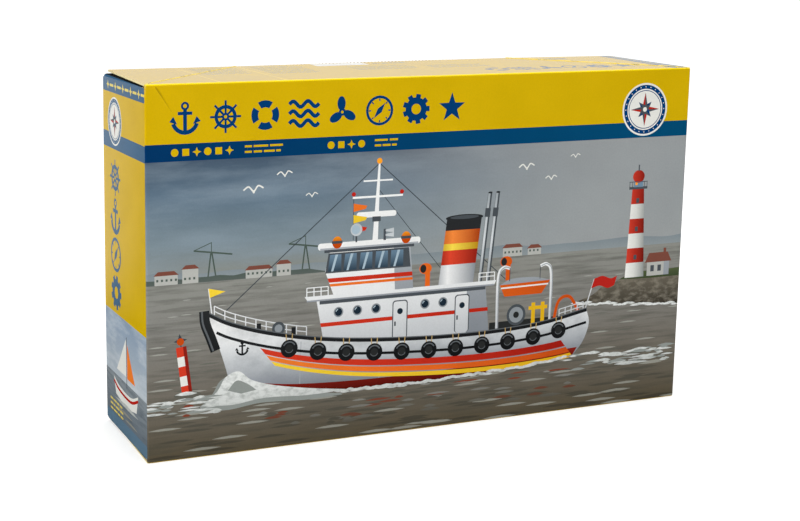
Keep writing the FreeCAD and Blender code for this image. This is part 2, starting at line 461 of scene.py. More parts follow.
def mainSurface(shell):
    # The largest panel. u and v follow the paper, so they run on over the rounded folds
    board = shell["board"]
    middle, halfHeight = (shell["low"] + shell["high"]) / 2, (shell["high"] - shell["low"]) / 2
    radius, corner = board * panelLook["foldRadius"], board * panelLook["cornerRadius"]
    flatU, flatV = shell["halfWidth"] - corner, halfHeight - corner
    slack = corner - radius
    quarter = radius * halfTurn / 2

    def point(u, v):
        w = v - middle
        over = Vector((max(abs(u) - flatU, 0.0), max(abs(w) - flatV, 0.0)))
        far = over.length
        reach, depth = far, 0.0
        if far > slack:
            angle = min((far - slack) / radius, halfTurn / 2)
            reach = slack + radius * math.sin(angle)
            depth = radius * (1 - math.cos(angle)) + max(0.0, far - slack - quarter)
        if far > 0:
            over *= reach / far
        x = math.copysign(min(abs(u), flatU) + over.x, u)
        z = middle + math.copysign(min(abs(w), flatV) + over.y, w)
        depth += shell["wave"](x, z)
        return Vector((x, shell["face"] + shell["facing"] * depth, z))

    return {
        "point": point, "side": shell["facing"], "flatU": flatU, "flatV": flatV, "middle": middle,
        "edge": slack + quarter + board - radius, "rings": [slack + quarter * step / 6 for step in range(7)],
    }


def edgeOf(shell, place):
    # The height of a long wall's outer face, and which way is inward
    return (shell["high"], -1) if place == "upper" else (shell["low"], 1)


def slopeOf(shell, place, side):
    return -shell["lifts"][side][1] / shell["run"] if place == "upper" else 0.0


creaseLook = {"width": 0.9, "fade": 7.0, "grooveDepth": 0.5, "grooveHalfWidth": 1.0}


def longWallSurface(shell, place):
    # u runs along x and v is the depth behind the main panel's outer face
    outer, inward = edgeOf(shell, place)
    lifts, run = shell["lifts"], shell["run"]

    def dropAt(u, along):
        inset, half = shell["halfWidth"] - abs(u), shell["halfWidth"] - along
        if inset >= along:
            s = (u + half) / (2 * half)
            rise = lifts["left"][1] * (1 - s) + lifts["right"][1] * s + shell["bow"] * 4 * s * (1 - s)
            drop = -rise * along / run
        else:
            rawLift, creaseLift = lifts["left" if u < 0 else "right"]
            drop = -(rawLift * (along - inset) + creaseLift * inset) / run
        off = (inset - along) / root2
        ridge = shell["ridge"] * min(1.0, max(0.0, along / creaseLook["fade"]))
        return drop - ridge * math.exp(-((off / creaseLook["width"]) ** 2))

    def point(u, v):
        drop = dropAt(u, v - shell["board"]) if place == "upper" else 0.0
        return Vector((u, shell["face"] + shell["facing"] * v, outer + inward * drop))

    return {"point": point, "side": -inward * shell["facing"]}


tabs = {
    "reach": 62.0,            # from the end wall's outer face
    "setback": 3.0,           # from the free rim
    "creaseMargin": 2.0,
    "cornerRadius": 5.0,
    "bendFront": 1.75,        # outer radius of the bend, tighter towards the main panel
    "bendBack": 2.45,
    "inkShare": (0.05, 0.65),    # of the bend that the end wall's ink covers, at the front and the rim
    # mm past the bend, where the painted shadow on the tab ends
    "paintedShadowEnd": 14.0,
    "overrun": 1.0,           # how far the ink runs past the outline
}


def bendRadius(shell, v):
    return tabs["bendFront"] + (v - shell["board"]) / shell["run"] * (tabs["bendBack"] - tabs["bendFront"])


def bendHeight(shell, place, side, v):
    # Where the end wall stops and its tab starts to bend
    outer, inward = edgeOf(shell, place)
    return outer + inward * (shell["board"] + bendRadius(shell, v) * (1 + slopeOf(shell, place, side)))


def endWallSurface(shell, side):
    # u is the depth behind the main panel's outer face and v is the height
    sign, height = signOf[side], shell["high"] - shell["low"]

    def point(u, v):
        share = (u - shell["board"]) / shell["run"]
        bulge = shell["bulge"] * share * math.sin(halfTurn * (v - shell["low"]) / height)
        return Vector((sign * (shell["halfWidth"] + bulge), shell["face"] + shell["facing"] * u, v))

    return {"point": point, "side": sign * shell["facing"]}


def tabSurface(shell, place, side):
    # u follows the board from the end wall's top over the bend and along the tab, v is the depth
    sign, slope = signOf[side], slopeOf(shell, place, side)
    outer, inward = edgeOf(shell, place)

    def point(u, v):
        radius = bendRadius(shell, v)
        quarter = radius * halfTurn / 2
        if u < quarter:
            angle = u / radius
            inset = radius * (1 - math.cos(angle))
            height = bendHeight(shell, place, side, v) - inward * radius * math.sin(angle)
        else:
            inset = radius + u - quarter
            height = outer + inward * (shell["board"] + slope * inset)
        return Vector((sign * (shell["halfWidth"] - inset), shell["face"] + shell["facing"] * v, height))

    return {"point": point, "side": sign * inward * shell["facing"]}


# Plans: an outline cut into triangles along the edges of its printed areas and its guides

def turnLeft(points):
    area = sum(a[0] * b[1] - b[0] * a[1] for a, b in zip(points, points[1:] + points[:1]))
    return points if area > 0 else points[::-1]


def divided(line, step):
    # The same line with a point at least every step millimetres
    points = []
    for start, end in zip(line, line[1:]):
        count = max(1, math.ceil(math.dist(start, end) / step))
        points += [tuple(a + (b - a) * (i / count) for a, b in zip(start, end)) for i in range(count)]
    return points + [line[-1]]


def gridDots(low, high, step):
    across, up = (int((b - a) / step) for a, b in zip(low, high))
    return [
        (low[0] + (high[0] - low[0]) * (i + 0.5 * (j % 2)) / across, low[1] + (high[1] - low[1]) * j / up)
        for i in range(1, across) for j in range(1, up)
    ]


sameSpot = 1e-4    # mm, points of a plan that are closer are one


def makePlan(outline, areas=(), guides=(), dots=(), base="insideLiner"):
    # areas are (points, ink), painted in order. guides are lines that the triangles follow
    points, edges, loops = [], [], []
    for loop in [outline] + [area for area, ink in areas]:
        loops.append(list(range(len(points), len(points) + len(loop))))
        points += turnLeft([tuple(point) for point in loop])
    for line in guides:
        edges += [(i, i + 1) for i in range(len(points), len(points) + len(line) - 1)]
        points += line
    points += dots
    found = delaunay_2d_cdt([Vector(point) for point in points], edges, loops, 1, sameSpot, True)
    spots, faces, owners = found[0], found[2], found[5]
    names = [base] + [ink for area, ink in areas]
    kept = [(tuple(face), names[max(owner)]) for face, owner in zip(faces, owners) if 0 in owner]
    used = sorted({i for triangle, ink in kept for i in triangle})
    index = {old: new for new, old in enumerate(used)}
    triangles = [tuple(index[i] for i in triangle) for triangle, ink in kept]
    sides = dict.fromkeys(pair for a, b, c in triangles for pair in ((a, b), (b, c), (c, a)))
    return {
        "points": [tuple(spots[i]) for i in used], "triangles": triangles,
        "colours": [ink for triangle, ink in kept],
        "rim": [(a, b) for a, b in sides if (b, a) not in sides],
    }


# Meshes

noArea = 1e-9    # square mm


def newMesh():
    return {"points": [], "faces": [], "finishes": [], "normals": [], "wear": []}


def addFace(data, corners, finishName, normals=None):
    # Without given normals it is a flat one with four corners, which is left out if it has no area
    if normals is None:
        a, b, c, d = (data["points"][i] for i in corners)
        normal = (c - a).cross(d - b)
        if normal.length < noArea:
            return
        normals = [normal.normalized()] * 4
    data["faces"].append(tuple(corners))
    data["finishes"].append(finishName)
    data["normals"] += normals


def addSheet(data, plan, surface, top, bottom, face, back, edge, wearAt=nowhere):
    # A closed sheet of paper. top and bottom give its depths at (u, v). Where face is None, the
    # plan's own colours show
    spots, start, count = plan["points"], len(data["points"]), len(plan["points"])
    frames = [surfaceFrame(surface, u, v) for u, v in spots]
    for layer in (top, bottom):
        data["points"] += [here - normal * layer(*spot) for (here, normal), spot in zip(frames, spots)]
    data["wear"] += [wearAt(*spot) for spot in spots] * 2
    for triangle, colour in zip(plan["triangles"], plan["colours"]):
        abc = triangle if surface["side"] > 0 else triangle[::-1]
        addFace(data, [start + i for i in abc], face or colour, [frames[i][1] for i in abc])
        under = abc[::-1]
        addFace(data, [start + count + i for i in under], back, [-frames[i][1] for i in under])
    for a, b in plan["rim"]:
        if surface["side"] < 0:
            a, b = b, a
        addFace(data, (start + b, start + a, start + count + a, start + count + b), edge)


flutes = {
    "pitch": 3.6,
    "steps": 8,               # facets to a pitch
    "liner": 0.3,
    "sheet": 0.22,
    "shownDepth": 14.0,       # how far in from a raw rim the core is modelled
    "recess": 0.15,           # the core is cut a little shorter than the liners
    "shortest": 0.2,
    "clear": {"crease": 1.0, "rimCorner": 1.5, "rawEdge": 0.6, "bend": 1.6},    # it stops short of these
}


def addFlutes(data, surface, board, start, end, reachAt):
    # The wavy core between the liners. It is wavy along u, and reachAt(u) gives its ends in v
    middle, halfSheet = board / 2, flutes["sheet"] / 2
    swing = middle - flutes["liner"] - halfSheet
    steps = max(2, round((end - start) / flutes["pitch"] * flutes["steps"]))
    rows, quads = [], []
    for i in range(steps + 1):
        u = start + (end - start) * i / steps
        depth = middle + swing * math.sin(2 * halfTurn * u / flutes["pitch"])
        rows.append(len(data["points"]))
        for v in reachAt(u):
            here, normal = surfaceFrame(surface, u, v)
            data["points"] += [here - normal * layer for layer in (depth - halfSheet, depth + halfSheet)]
    data["wear"] += [0.0] * (4 * len(rows))
    for a, b in zip(rows, rows[1:]):
        quads += [
            (a, b, b + 2, a + 2), (a + 1, a + 3, b + 3, b + 1),
            (a, a + 1, b + 1, b), (a + 2, b + 2, b + 3, a + 3),
        ]
    a, b = rows[0], rows[-1]
    for quad in quads + [(a, a + 2, a + 3, a + 1), (b + 1, b + 3, b + 2, b)]:
        addFace(data, quad if surface["side"] > 0 else quad[::-1], "corePaper")


def buildPiece(data, shell, part):
    node = f"{shell['name']}_{part}"
    name = part if part == shell["mainPanel"] else node.replace("_", "-")
    mesh = bpy.data.meshes.new(name)
    mesh.from_pydata([point * mm for point in data["points"]], [], data["faces"])
    names = sorted(set(data["finishes"]))
    for finishName in names:
        mesh.materials.append(finish(finishName))
    mesh.polygons.foreach_set("material_index", [names.index(n) for n in data["finishes"]])
    mesh.polygons.foreach_set("use_smooth", [True] * len(data["faces"]))
    mesh.attributes.new("wear", "FLOAT", "POINT").data.foreach_set("value", data["wear"])
    mesh.update()
    mesh.normals_split_custom_set(data["normals"])
    piece = bpy.data.objects.new(name, mesh)
    bpy.context.scene.collection.objects.link(piece)
    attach(piece, shell["name"])
    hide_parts(node)


# Drawing helpers. A shape is a list of corners in mm, and a drawing is (shape, ink) in the order
# of printing

def paint(*steps):
    # A name changes the ink for the shapes that follow it
    ink = None
    for step in steps:
        if isinstance(step, str):
            ink = step
        else:
            yield step, ink


def rectangle(left, low, right, high):
    return [(left, low), (right, low), (right, high), (left, high)]


def ellipse(x, y, across, up, steps=24):
    angles = [2 * halfTurn * i / steps for i in range(steps)]
    return [(x + across * math.cos(angle), y + up * math.sin(angle)) for angle in angles]


def circle(x, y, radius, steps=24):
    return ellipse(x, y, radius, radius, steps)


def arcLine(x, y, radius, start, stop, steps=12):
    # start and stop are in turns
    angles = [2 * halfTurn * (start + (stop - start) * i / steps) for i in range(steps + 1)]
    return [(x + radius * math.cos(angle), y + radius * math.sin(angle)) for angle in angles]


def arcBand(x, y, inner, outer, start, stop):
    return arcLine(x, y, outer, start, stop) + arcLine(x, y, inner, stop, start)


def roundedRectangle(left, low, right, high, radius, steps=6):
    points = []
    for x, y, turn in (
        (right - radius, low + radius, -0.25), (right - radius, high - radius, 0),
        (left + radius, high - radius, 0.25), (left + radius, low + radius, 0.5),
    ):
        points += arcLine(x, y, radius, turn, turn + 0.25, steps)
    return points


def roundedCorner(before, corner, after, radius, steps=5):
    # An arc that replaces a corner of an outline
    a, b, c = Vector(before), Vector(corner), Vector(after)
    first, second = (a - b).normalized(), (c - b).normalized()
    half = first.angle(second) / 2
    centre = b + (first + second).normalized() * radius / math.sin(half)
    begin = b + first * radius / math.tan(half) - centre
    sweep = begin.angle_signed(b + second * radius / math.tan(half) - centre) / (2 * halfTurn)
    return [placed([begin], *centre, 1.0, -sweep * i / steps)[0] for i in range(steps + 1)]


def star(x, y, outer, inner, tips):
    angles = [2 * halfTurn * (0.25 + i / (2 * tips)) for i in range(2 * tips)]
    radii = [outer, inner] * tips
    return [(x + r * math.cos(angle), y + r * math.sin(angle)) for r, angle in zip(radii, angles)]


def curved(points, steps=5):
    # A smooth line through the points
    points = [Vector(point) for point in points]
    line = [2 * points[0] - points[1]] + points + [2 * points[-1] - points[-2]]
    smooth = []
    for a, b, c, d in zip(line, line[1:], line[2:], line[3:]):
        for t in (i / steps for i in range(steps)):
            place = b * 2 + (c - a) * t + (2 * a - 5 * b + 4 * c - d) * t * t
            smooth.append(tuple((place + (3 * b - a - 3 * c + d) * t ** 3) / 2))
    return smooth + [tuple(points[-1])]


def stroke(points, width):
    # A line drawn with a flat pen
    line = [Vector(point) for point in points]
    left, right = [], []
    for i, here in enumerate(line):
        before = (here - line[i - 1]).normalized() if i else (line[1] - here).normalized()
        after = (line[i + 1] - here).normalized() if i < len(line) - 1 else before
        along = (before + after).normalized()
        across = Vector((-along.y, along.x)) * (width / 2 / max(0.5, along.dot(after)))
        left.append(tuple(here + across))
        right.append(tuple(here - across))
    return left + right[::-1]


def placed(points, x, y, size=1.0, turn=0.0):
    c, s = math.cos(2 * halfTurn * turn), math.sin(2 * halfTurn * turn)
    return [(x + size * (c * px - s * py), y + size * (s * px + c * py)) for px, py in points]


def spread(points, count, start=0.0):
    # Copies of a shape in even turns round the origin
    return [placed(points, 0, 0, 1, start + i / count) for i in range(count)]


def shifted(points, dx, dy):
    return [(x + dx, y + dy) for x, y in points]


def heightAt(line, x):
    for (x0, y0), (x1, y1) in zip(line, line[1:]):
        if x0 <= x <= x1:
            return y0 + (y1 - y0) * (x - x0) / (x1 - x0)
    return line[0][1] if x < line[0][0] else line[-1][1]


def lens(x, y, half, thick):
    outline = ((-1, 0), (-0.5, 0.7), (0, 1), (0.5, 0.7), (1, 0), (0.4, -0.5), (-0.4, -0.5))
    return [(x + half * px, y + thick * py) for px, py in outline]


# Signs for the print, one unit high, in ink and the ground that it stands on

def anchorSign():
    return paint(
        "ink", circle(0, 0.37, 0.13), "ground", circle(0, 0.37, 0.06),
        "ink", rectangle(-0.06, -0.42, 0.06, 0.28), rectangle(-0.23, 0.10, 0.23, 0.20),
        arcBand(0, -0.04, 0.33, 0.46, 0.55, 0.95),
        *([(way * 0.50, -0.10), (way * 0.37, 0.06), (way * 0.25, -0.18)] for way in (-1, 1)),
    )


def wheelSign():
    return paint(
        "ink", circle(0, 0, 0.36), "ground", circle(0, 0, 0.25),
        "ink", *spread(rectangle(0.05, -0.035, 0.5, 0.035), 8), circle(0, 0, 0.12),
        "ground", circle(0, 0, 0.05),
    )


def propellerSign():
    blades = spread(ellipse(0.27, 0.03, 0.23, 0.14), 3, 0.25)
    return paint("ink", *blades, circle(0, 0, 0.12), "ground", circle(0, 0, 0.045))


def lifebuoySign():
    gaps = (arcBand(0, 0, 0.22, 0.48, 0.09 + gap / 4, 0.16 + gap / 4) for gap in range(4))
    return paint("ink", circle(0, 0, 0.46), "ground", circle(0, 0, 0.24), *gaps)


def wavesSign():
    for level in (-0.30, 0.0, 0.30):
        line = [(x / 20, level + 0.09 * math.sin(halfTurn * x / 5)) for x in range(-10, 11)]
        yield stroke(line, 0.12), "ink"


def compassSign():
    needle = placed([(0, 0.31), (0.09, 0), (0, -0.31), (-0.09, 0)], 0, 0, 1, -0.11)
    return paint(
        "ink", circle(0, 0, 0.48), "ground", circle(0, 0, 0.39),
        "ink", needle, *spread(rectangle(0.30, -0.02, 0.38, 0.02), 8),
    )


def cogSign():
    teeth = spread(rectangle(0.2, -0.085, 0.48, 0.085), 9)
    return paint("ink", circle(0, 0, 0.38), *teeth, "ground", circle(0, 0, 0.17))


def starSign():
    return paint("ink", star(0, 0, 0.5, 0.2, 5))


signs = (anchorSign, wheelSign, lifebuoySign, wavesSign, propellerSign, compassSign, cogSign, starSign)


def placeSign(sign, x, y, size, ink, ground="headerYellow"):
    for points, part in sign():
        yield placed(points, x, y, size), ink if part == "ink" else ground


barLook = {"length": (4, 13), "gap": (1.2, 2.2), "shortest": 3, "height": 0.38}    # height to a pitch


def fineBars(left, low, right, rows, pitch, ink, seed):
    # Rows of thin bars of uneven length, where small print would stand
    draw = random.Random(seed)
    for y in (low + row * pitch for row in range(rows)):
        x = left
        while x < right - barLook["shortest"]:
            length = min(draw.uniform(*barLook["length"]), right - x)
            yield rectangle(x, y, x + length, y + pitch * barLook["height"]), ink
            x += length + draw.uniform(*barLook["gap"])


def compassRoundel(x, z, radius, rim, ground="labelWhite"):
    for share, ink in ((1, "labelWhite"), (0.93, rim), (0.78, "labelWhite"), (0.73, rim), (0.70, ground)):
        yield circle(x, z, radius * share, 48), ink
    for tick in range(24):
        yield placed(circle(0.855, 0, 0.022, 8), x, z, radius, tick / 24), "labelWhite"
    for point in range(8):
        long, ink = (0.40, rim) if point % 2 else (0.64, "signRed")
        for flip, half in ((1, ink), (-1, "houseDark")):
            yield placed([(0, 0), (0.115, 0.115 * flip), (long, 0)], x, z, radius, point / 8), half
    yield circle(x, z, radius * 0.09, 16), "labelWhite"


# The printed picture, of a harbour tug passing a lighthouse, in x and height

# The print runs on over the folds, to top, foot and margin
bands = {
    "top": 330.0, "headerLow": 268.8, "bandLow": 254.5, "horizon": 152.0, "foot": -15.0, "margin": 285.0,
    "foldHighlightWidth": 1.3,
}


def header():
    top, low, bandLow, foot, edge = (bands[key] for key in ("top", "headerLow", "bandLow", "foot", "margin"))
    (knockX, knockZ), knockEnd = panelLook["knock"]
    yield from paint(
        "headerYellow", rectangle(-edge, low, edge, top),
        "foldYellow", rectangle(-edge, lid["high"] - bands["foldHighlightWidth"], edge, top),    # painted highlight along the rounded top fold
        "bandBlue", rectangle(-edge, bandLow, edge, low),
        "headerYellow", rectangle(-edge, foot, edge, 0.8),    # the lower wall's print round its fold
        # painted shade along the buckle, a thin wedge from its start
        "pressedYellow", [(knockX + 0.5, knockZ + 0.4), knockEnd, (knockX - 0.5, knockZ - 0.4)],
    )
    for i, sign in enumerate(signs):
        yield from placeSign(sign, -231 + i * 35.0, 289.5, 27, "titleBlue")
    shapes = (circle(0, 0, 0.5), rectangle(-0.45, -0.45, 0.45, 0.45), star(0, 0, 0.6, 0.24, 4))
    for left, count in ((-240, 6), (-101, 4)):
        for i in range(count):
            yield placed(shapes[i % 3], left + i * 9.5, 261.6, 6.5), "headerYellow"
    yield from fineBars(-179, 258.6, -142, 2, 4.6, "headerYellow", 3)
    yield from fineBars(-60, 258.6, -38, 2, 4.6, "headerYellow", 4)
    yield from compassRoundel(216.0, 280.5, 24.5, "titleBlue")


def skyAndSea():
    edge, horizon = bands["margin"], bands["horizon"]
    yield rectangle(-edge, horizon, edge, bands["bandLow"]), "sky"
    yield rectangle(-edge, bands["foot"], edge, horizon), "sea"
    draw = random.Random(11)
    for crest in range(330):
        near = draw.random() ** 0.8
        x, z = draw.uniform(-262, 262), horizon - 3 - near * (horizon - 4)
        yield lens(x, z, 3 + 15 * near, 0.35 + 1.3 * near), "crestDark" if crest % 3 else "crestLight"


def farShore():
    base = bands["horizon"]
    ridge = [(x, base + 5 + 9 * patchy(x, 0, 46, 3.7)) for x in range(-285, 290, 6)]
    quay = [(x, base + 3 + 3 * patchy(x, 0, 15, 8.2)) for x in range(-285, -120, 4)]
    yield ridge + [(290, base), (-285, base)], "shoreFar"
    yield quay + [(-100, base), (-285, base)], "shoreNear"
    for x, width, height in (
        (-258, 20, 8), (-234, 14, 12), (-178, 24, 7), (-150, 13, 10), (70, 20, 8), (96, 14, 6),
    ):
        eaves, right = base + height, x + width
        yield rectangle(x, base, right, eaves), "shoreWall"
        roof = [(x - 1, eaves), (right + 1, eaves), (right - 3, eaves + 3.5), (x + 3, eaves + 3.5)]
        yield roof, "shoreRoof"
        for window in range(int(width / 4)):
            left = x + 1.5 + window * 4
            yield rectangle(left, base + 3, left + 1.8, base + 5), "shoreNear"
    for x in (-212, -127):    # harbour cranes
        for line, width in (
            (((x, 0), (x + 3, 24)), 1.3), (((x + 8, 0), (x + 4, 24)), 1.3),
            (((x - 12, 27), (x + 22, 22)), 1.4), (((x + 3.5, 24), (x + 3.5, 33), (x - 12, 27)), 0.7),
        ):
            yield stroke(shifted(line, 0, base), width), "shoreNear"


lighthouse = {"x": 213.0, "low": 122.0, "high": 206.0, "lowHalf": 10.5, "highHalf": 6.5, "bands": 6}


def lighthouseTower():
    x, low, high, lowHalf, highHalf, count = lighthouse.values()
    edges = [
        (lowHalf + i / count * (highHalf - lowHalf), low + i / count * (high - low)) for i in range(count + 1)
    ]
    for i, ((wide, bottom), (narrow, top)) in enumerate(zip(edges, edges[1:])):
        band = [(x - wide, bottom), (x + wide, bottom), (x + narrow, top), (x - narrow, top)]
        yield band, "towerRed" if i % 2 else "towerWhite"
    yield from paint(
        "houseDark", *(rectangle(x - 1.6, z, x + 1.6, z + 4.5) for z in (139, 166, 193)),
        rectangle(x - 10, high, x + 10, high + 2.4),
        "glass", rectangle(x - 5, high + 2, x + 5, high + 12),
        "amber", rectangle(x - 3.4, high + 4, x - 1, high + 10),
        "towerRed", ellipse(x, high + 12, 6.5, 6, 20),
        "houseDark", rectangle(x - 0.7, high + 17, x + 0.7, high + 23),
        stroke([(x - 10, high + 7), (x + 10, high + 7)], 0.7),
        *(rectangle(x + s - 0.3, high + 2, x + s + 0.3, high + 7) for s in (-9.5, -6.5, 6.5, 9.5)),
    )


def lighthouseRocks():
    rocks = curved(
        [(152, 104), (168, 109), (180, 117), (192, 119), (204, 124), (232, 125), (252, 121), (285, 124)], 4,
    )
    foot = [(x, 114.5 + 4 * patchy(x, 0, 9, 2.2) - x * 0.09) for x in range(285, 148, -5)]
    turf = curved([(196, 121), (214, 127), (240, 127), (285, 129)], 4)
    yield rocks + foot, "rock"
    yield turf + [(285, 120), (230, 120)], "grass"
    yield from lighthouseTower()
    yield from paint(
        "shoreWall", rectangle(227, 122, 252, 136), "houseSide", rectangle(246, 122, 252, 136),
        "shoreRoof", [(224.5, 135), (254.5, 135), (250, 144), (229, 144)],
        "houseDark", rectangle(231, 126, 235, 132), rectangle(239, 126, 243, 132),
        "shoreRoof", rectangle(245, 143, 248, 148),
    )
    draw = random.Random(5)
    for x in (150 + splash * 4.4 for splash in range(26)):
        yield lens(x, heightAt(foot[::-1], x) - draw.uniform(0, 2), draw.uniform(3, 7), 1.4), "foam"


def gulls():
    wings = stroke(curved([(-1, 0.25), (-0.45, 0.5), (0, 0), (0.5, 0.45), (1, 0.15)], 4), 0.15)
    body = ellipse(0, -0.05, 0.12, 0.16, 10)
    for x, z, size in (
        (-171, 226, 9), (-143, 238, 7), (-118, 219, 5.5), (92, 232, 8), (118, 221, 6), (143, 240, 5),
    ):
        yield from paint("labelWhite", placed(wings, x, z, size, 0.02), placed(body, x, z, size))


def sparBuoy():
    stripes = ((i, "labelWhite" if i % 2 else "stripeRed") for i in range(5))
    upright = [(rectangle(-4.6, i * 8.5, 4.6, i * 8.5 + 8.5), ink) for i, ink in stripes]
    upright += paint(
        "bootTop", rectangle(1.6, 0, 4.6, 42.5), "rigging", star(0, 48, 6.0, 2.4, 4),
        "amber", circle(0, 47, 3.2, 14),
    )
    for points, ink in upright:
        yield placed(points, -230, 56, 1, 0.02), ink    # heeled over by the tide
    yield from paint(
        "crestDark", ellipse(-230, 56, 12, 3), "foam", lens(-231, 57, 10, 2.2),
        "redReflection", lens(-229, 46, 5, 1.8), lens(-231, 38, 4, 1.6),
    )


tug = {
    "sheer": ((-212, 124), (-190, 113), (-150, 101), (-95, 91), (-25, 85), (45, 83), (110, 86), (162, 95)),
    "stern": ((162, 95), (165, 82), (159, 65), (147, 51)),
    "waterline": ((147, 51), (60, 45), (-40, 43), (-130, 46), (-190, 55)),
    "stem": ((-190, 55), (-199, 86), (-212, 124)),
    "fenders": 11,
    "fenderPitch": 27.0,
    "fenderRadius": 8.0,
    "stripes": ((19, 6.0, "stripeRed"), (26, 5.0, "stripeOrange"), (32, 4.0, "stripeYellow")),
}
sheerLine = curved(tug["sheer"])
waterLine = curved(tug["waterline"])


def railing(line, height, pitch):
    # Two rails and their posts, which stand on a line
    for level in (0.55, 1.0):
        yield stroke(shifted(line, 0, height * level), 0.9), "house"
    start, end = line[0][0], line[-1][0]
    count = int((end - start) / pitch)
    for x in (start + i * (end - start) / count for i in range(count + 1)):
        base = heightAt(line, x)
        yield rectangle(x - 0.5, base, x + 0.5, base + height), "house"


def tugMast():
    yield from paint(
        "rigging", stroke([(-55, 244), (-200, 122)], 0.8), stroke([(-55, 244), (74, 131)], 0.8),
        stroke([(-56, 222), (20, 131)], 0.6),
        "house", [(-60.6, 177), (-55.9, 244), (-54.1, 244), (-55.4, 177)],
        stroke([(-80, 215), (-32, 215)], 1.8), stroke([(-70, 229), (-42, 229)], 1.4),
        roundedRectangle(-76, 197, -38, 202, 2.2),
        "chromeDark", rectangle(-61, 193, -53, 197.5), "amber", circle(-55, 246, 2.6, 14),
        "signRed", circle(-79, 218, 2.0, 12), circle(-33, 218, 2.0, 12),
        "rigging", rectangle(-79.3, 178, -78.7, 214),
    )
    for z, ink in ((206, "stripeOrange"), (196, "stripeYellow"), (187, "stripeRed")):
        yield [(-79, z + 4), (-66, z + 1.5), (-67.5, z - 1.2), (-79, z - 3.4)], ink


funnel = {
    "left": 5.0, "width": 35.0, "lean": 0.12, "low": 131.0, "high": 191.0,
    "rings": (
        (131, "funnelWhite"), (149, "funnelRed"), (162, "funnelYellow"), (168, "funnelOrange"),
        (180, "rubberBlack"),
    ),
}


def tugFunnel():
    high, rings, width = funnel["high"], funnel["rings"], funnel["width"]

    def at(share, z):
        return funnel["left"] + width * share + (z - funnel["low"]) * funnel["lean"], z

    for x in (47, 55):
        pipe = [(x, 131), (x + 8, 212)]
        yield from paint(
            "chromeDark", stroke(pipe, 4.2), "chrome", stroke(shifted(pipe, -0.7, 0), 2.2),
            "rubberBlack", ellipse(x + 8.2, 212, 2.1, 0.9, 12),
            "chromeDark", stroke([(x + 5.6, 190), (x + 6.4, 198)], 5.4),
        )
    tops = [low for low, ink in rings[1:]] + [high]
    for (low, ink), top in zip(rings, tops):
        yield [at(0, low), at(1, low), at(1, top), at(0, top)], ink
    x = at(0.5, high)[0]
    yield ellipse(x, high, width / 2 + 1.5, 3.0), "rubberBlack"
    yield ellipse(x, high + 0.4, width / 2 - 3, 1.7), "chromeDark"
    for x in (-6, 76):    # ventilators
        yield from paint(
            "stripeOrange", rectangle(x - 2.4, 130, x + 2.4, 146), ellipse(x - 2.2, 147.5, 6.2, 5.0, 18),
            "deckShadow", ellipse(x - 4.4, 147.5, 3.0, 3.8, 14),
        )


def tugHouse():
    yield from paint(
        "house", [(-104, 80), (-113, 128), (53, 128), (58, 80)],
        "houseSide", [(34, 80), (34, 128), (53, 128), (58, 80)],
        "houseDark", rectangle(-110, 123.6, 53, 127.4),
        "house", [(-121, 127), (62, 127), (64, 131.4), (-124, 131.4)],
        "houseSide", rectangle(-122, 126.6, 62, 128.0),
        "stripeRed", [(-108.5, 103.5), (-109.2, 107), (55.8, 107), (56.2, 103.5)],
    )
    for x in (-92, -74, -56, -8, 10):
        yield from paint(
            "chrome", circle(x, 115.5, 4.6), "glass", circle(x, 115.5, 3.5),
            "glassGlare", arcBand(x, 115.5, 2.0, 2.8, 0.28, 0.47),
        )
    for x in (-40, 22):
        yield from paint(
            "houseDark", roundedRectangle(x, 86, x + 15, 121, 3),
            "house", roundedRectangle(x + 1, 86, x + 14, 120, 2.5),
            "glass", circle(x + 7.5, 111, 2.8, 16), "chromeDark", rectangle(x + 2, 98, x + 3.6, 102),
        )
    yield from railing([(-122, 131), (-102, 131)], 8, 6.5)
    yield from railing([(46, 131), (62, 131)], 8, 5.5)


def wheelhouse():
    yield from paint(
        "house", [(-97, 131), (-105, 152), (-100, 173), (-24, 173), (-20, 131)],
        "houseSide", [(-38, 131), (-40, 173), (-24, 173), (-20, 131)],
        "stripeRed", [(-102.8, 146), (-101.2, 142.2), (-21, 142.2), (-21.4, 146)],
        "stripeOrange", [(-100.9, 141), (-100, 138.6), (-20.7, 138.6), (-21, 141)],
        "houseDark", [(-105, 150.5), (-102, 168), (-25, 168), (-23, 150.5)],
    )
    for i, x in enumerate((-102.5, -88, -73, -58, -43)):
        yield from paint(
            "glass", [(x, 152), (x + 2 - i * 0.3, 166.5), (x + 12.6, 166.5), (x + 12.6, 152)],
            "glassGlare", [(x + 3, 152), (x + 7, 166.5), (x + 9.5, 166.5), (x + 5, 152)],
        )
    yield from paint(
        "houseDark", rectangle(-106, 168.5, -20, 172.5),
        "house", roundedRectangle(-112, 171, -14, 177, 2.4), "houseSide", rectangle(-110, 171, -16, 172.6),
        "amber", ellipse(-94, 177, 4.6, 5.4, 18), "chromeDark", rectangle(-99, 176, -89, 178.4),
        "amber", ellipse(-28, 177, 4.6, 5.4, 18), "chromeDark", rectangle(-33, 176, -23, 178.4),
        rectangle(-76.8, 176, -75.2, 184), "chrome", circle(-76, 187, 5.6, 20),
        "glassGlare", circle(-76.6, 187, 4.0, 18), "houseDark", rectangle(-50, 176, -47.6, 186),
        "chrome", *([(-48, z - 0.8), (-48, z + 0.8), (-40, z + 2.0), (-40, z - 2.0)] for z in (180.5, 184.5)),
    )


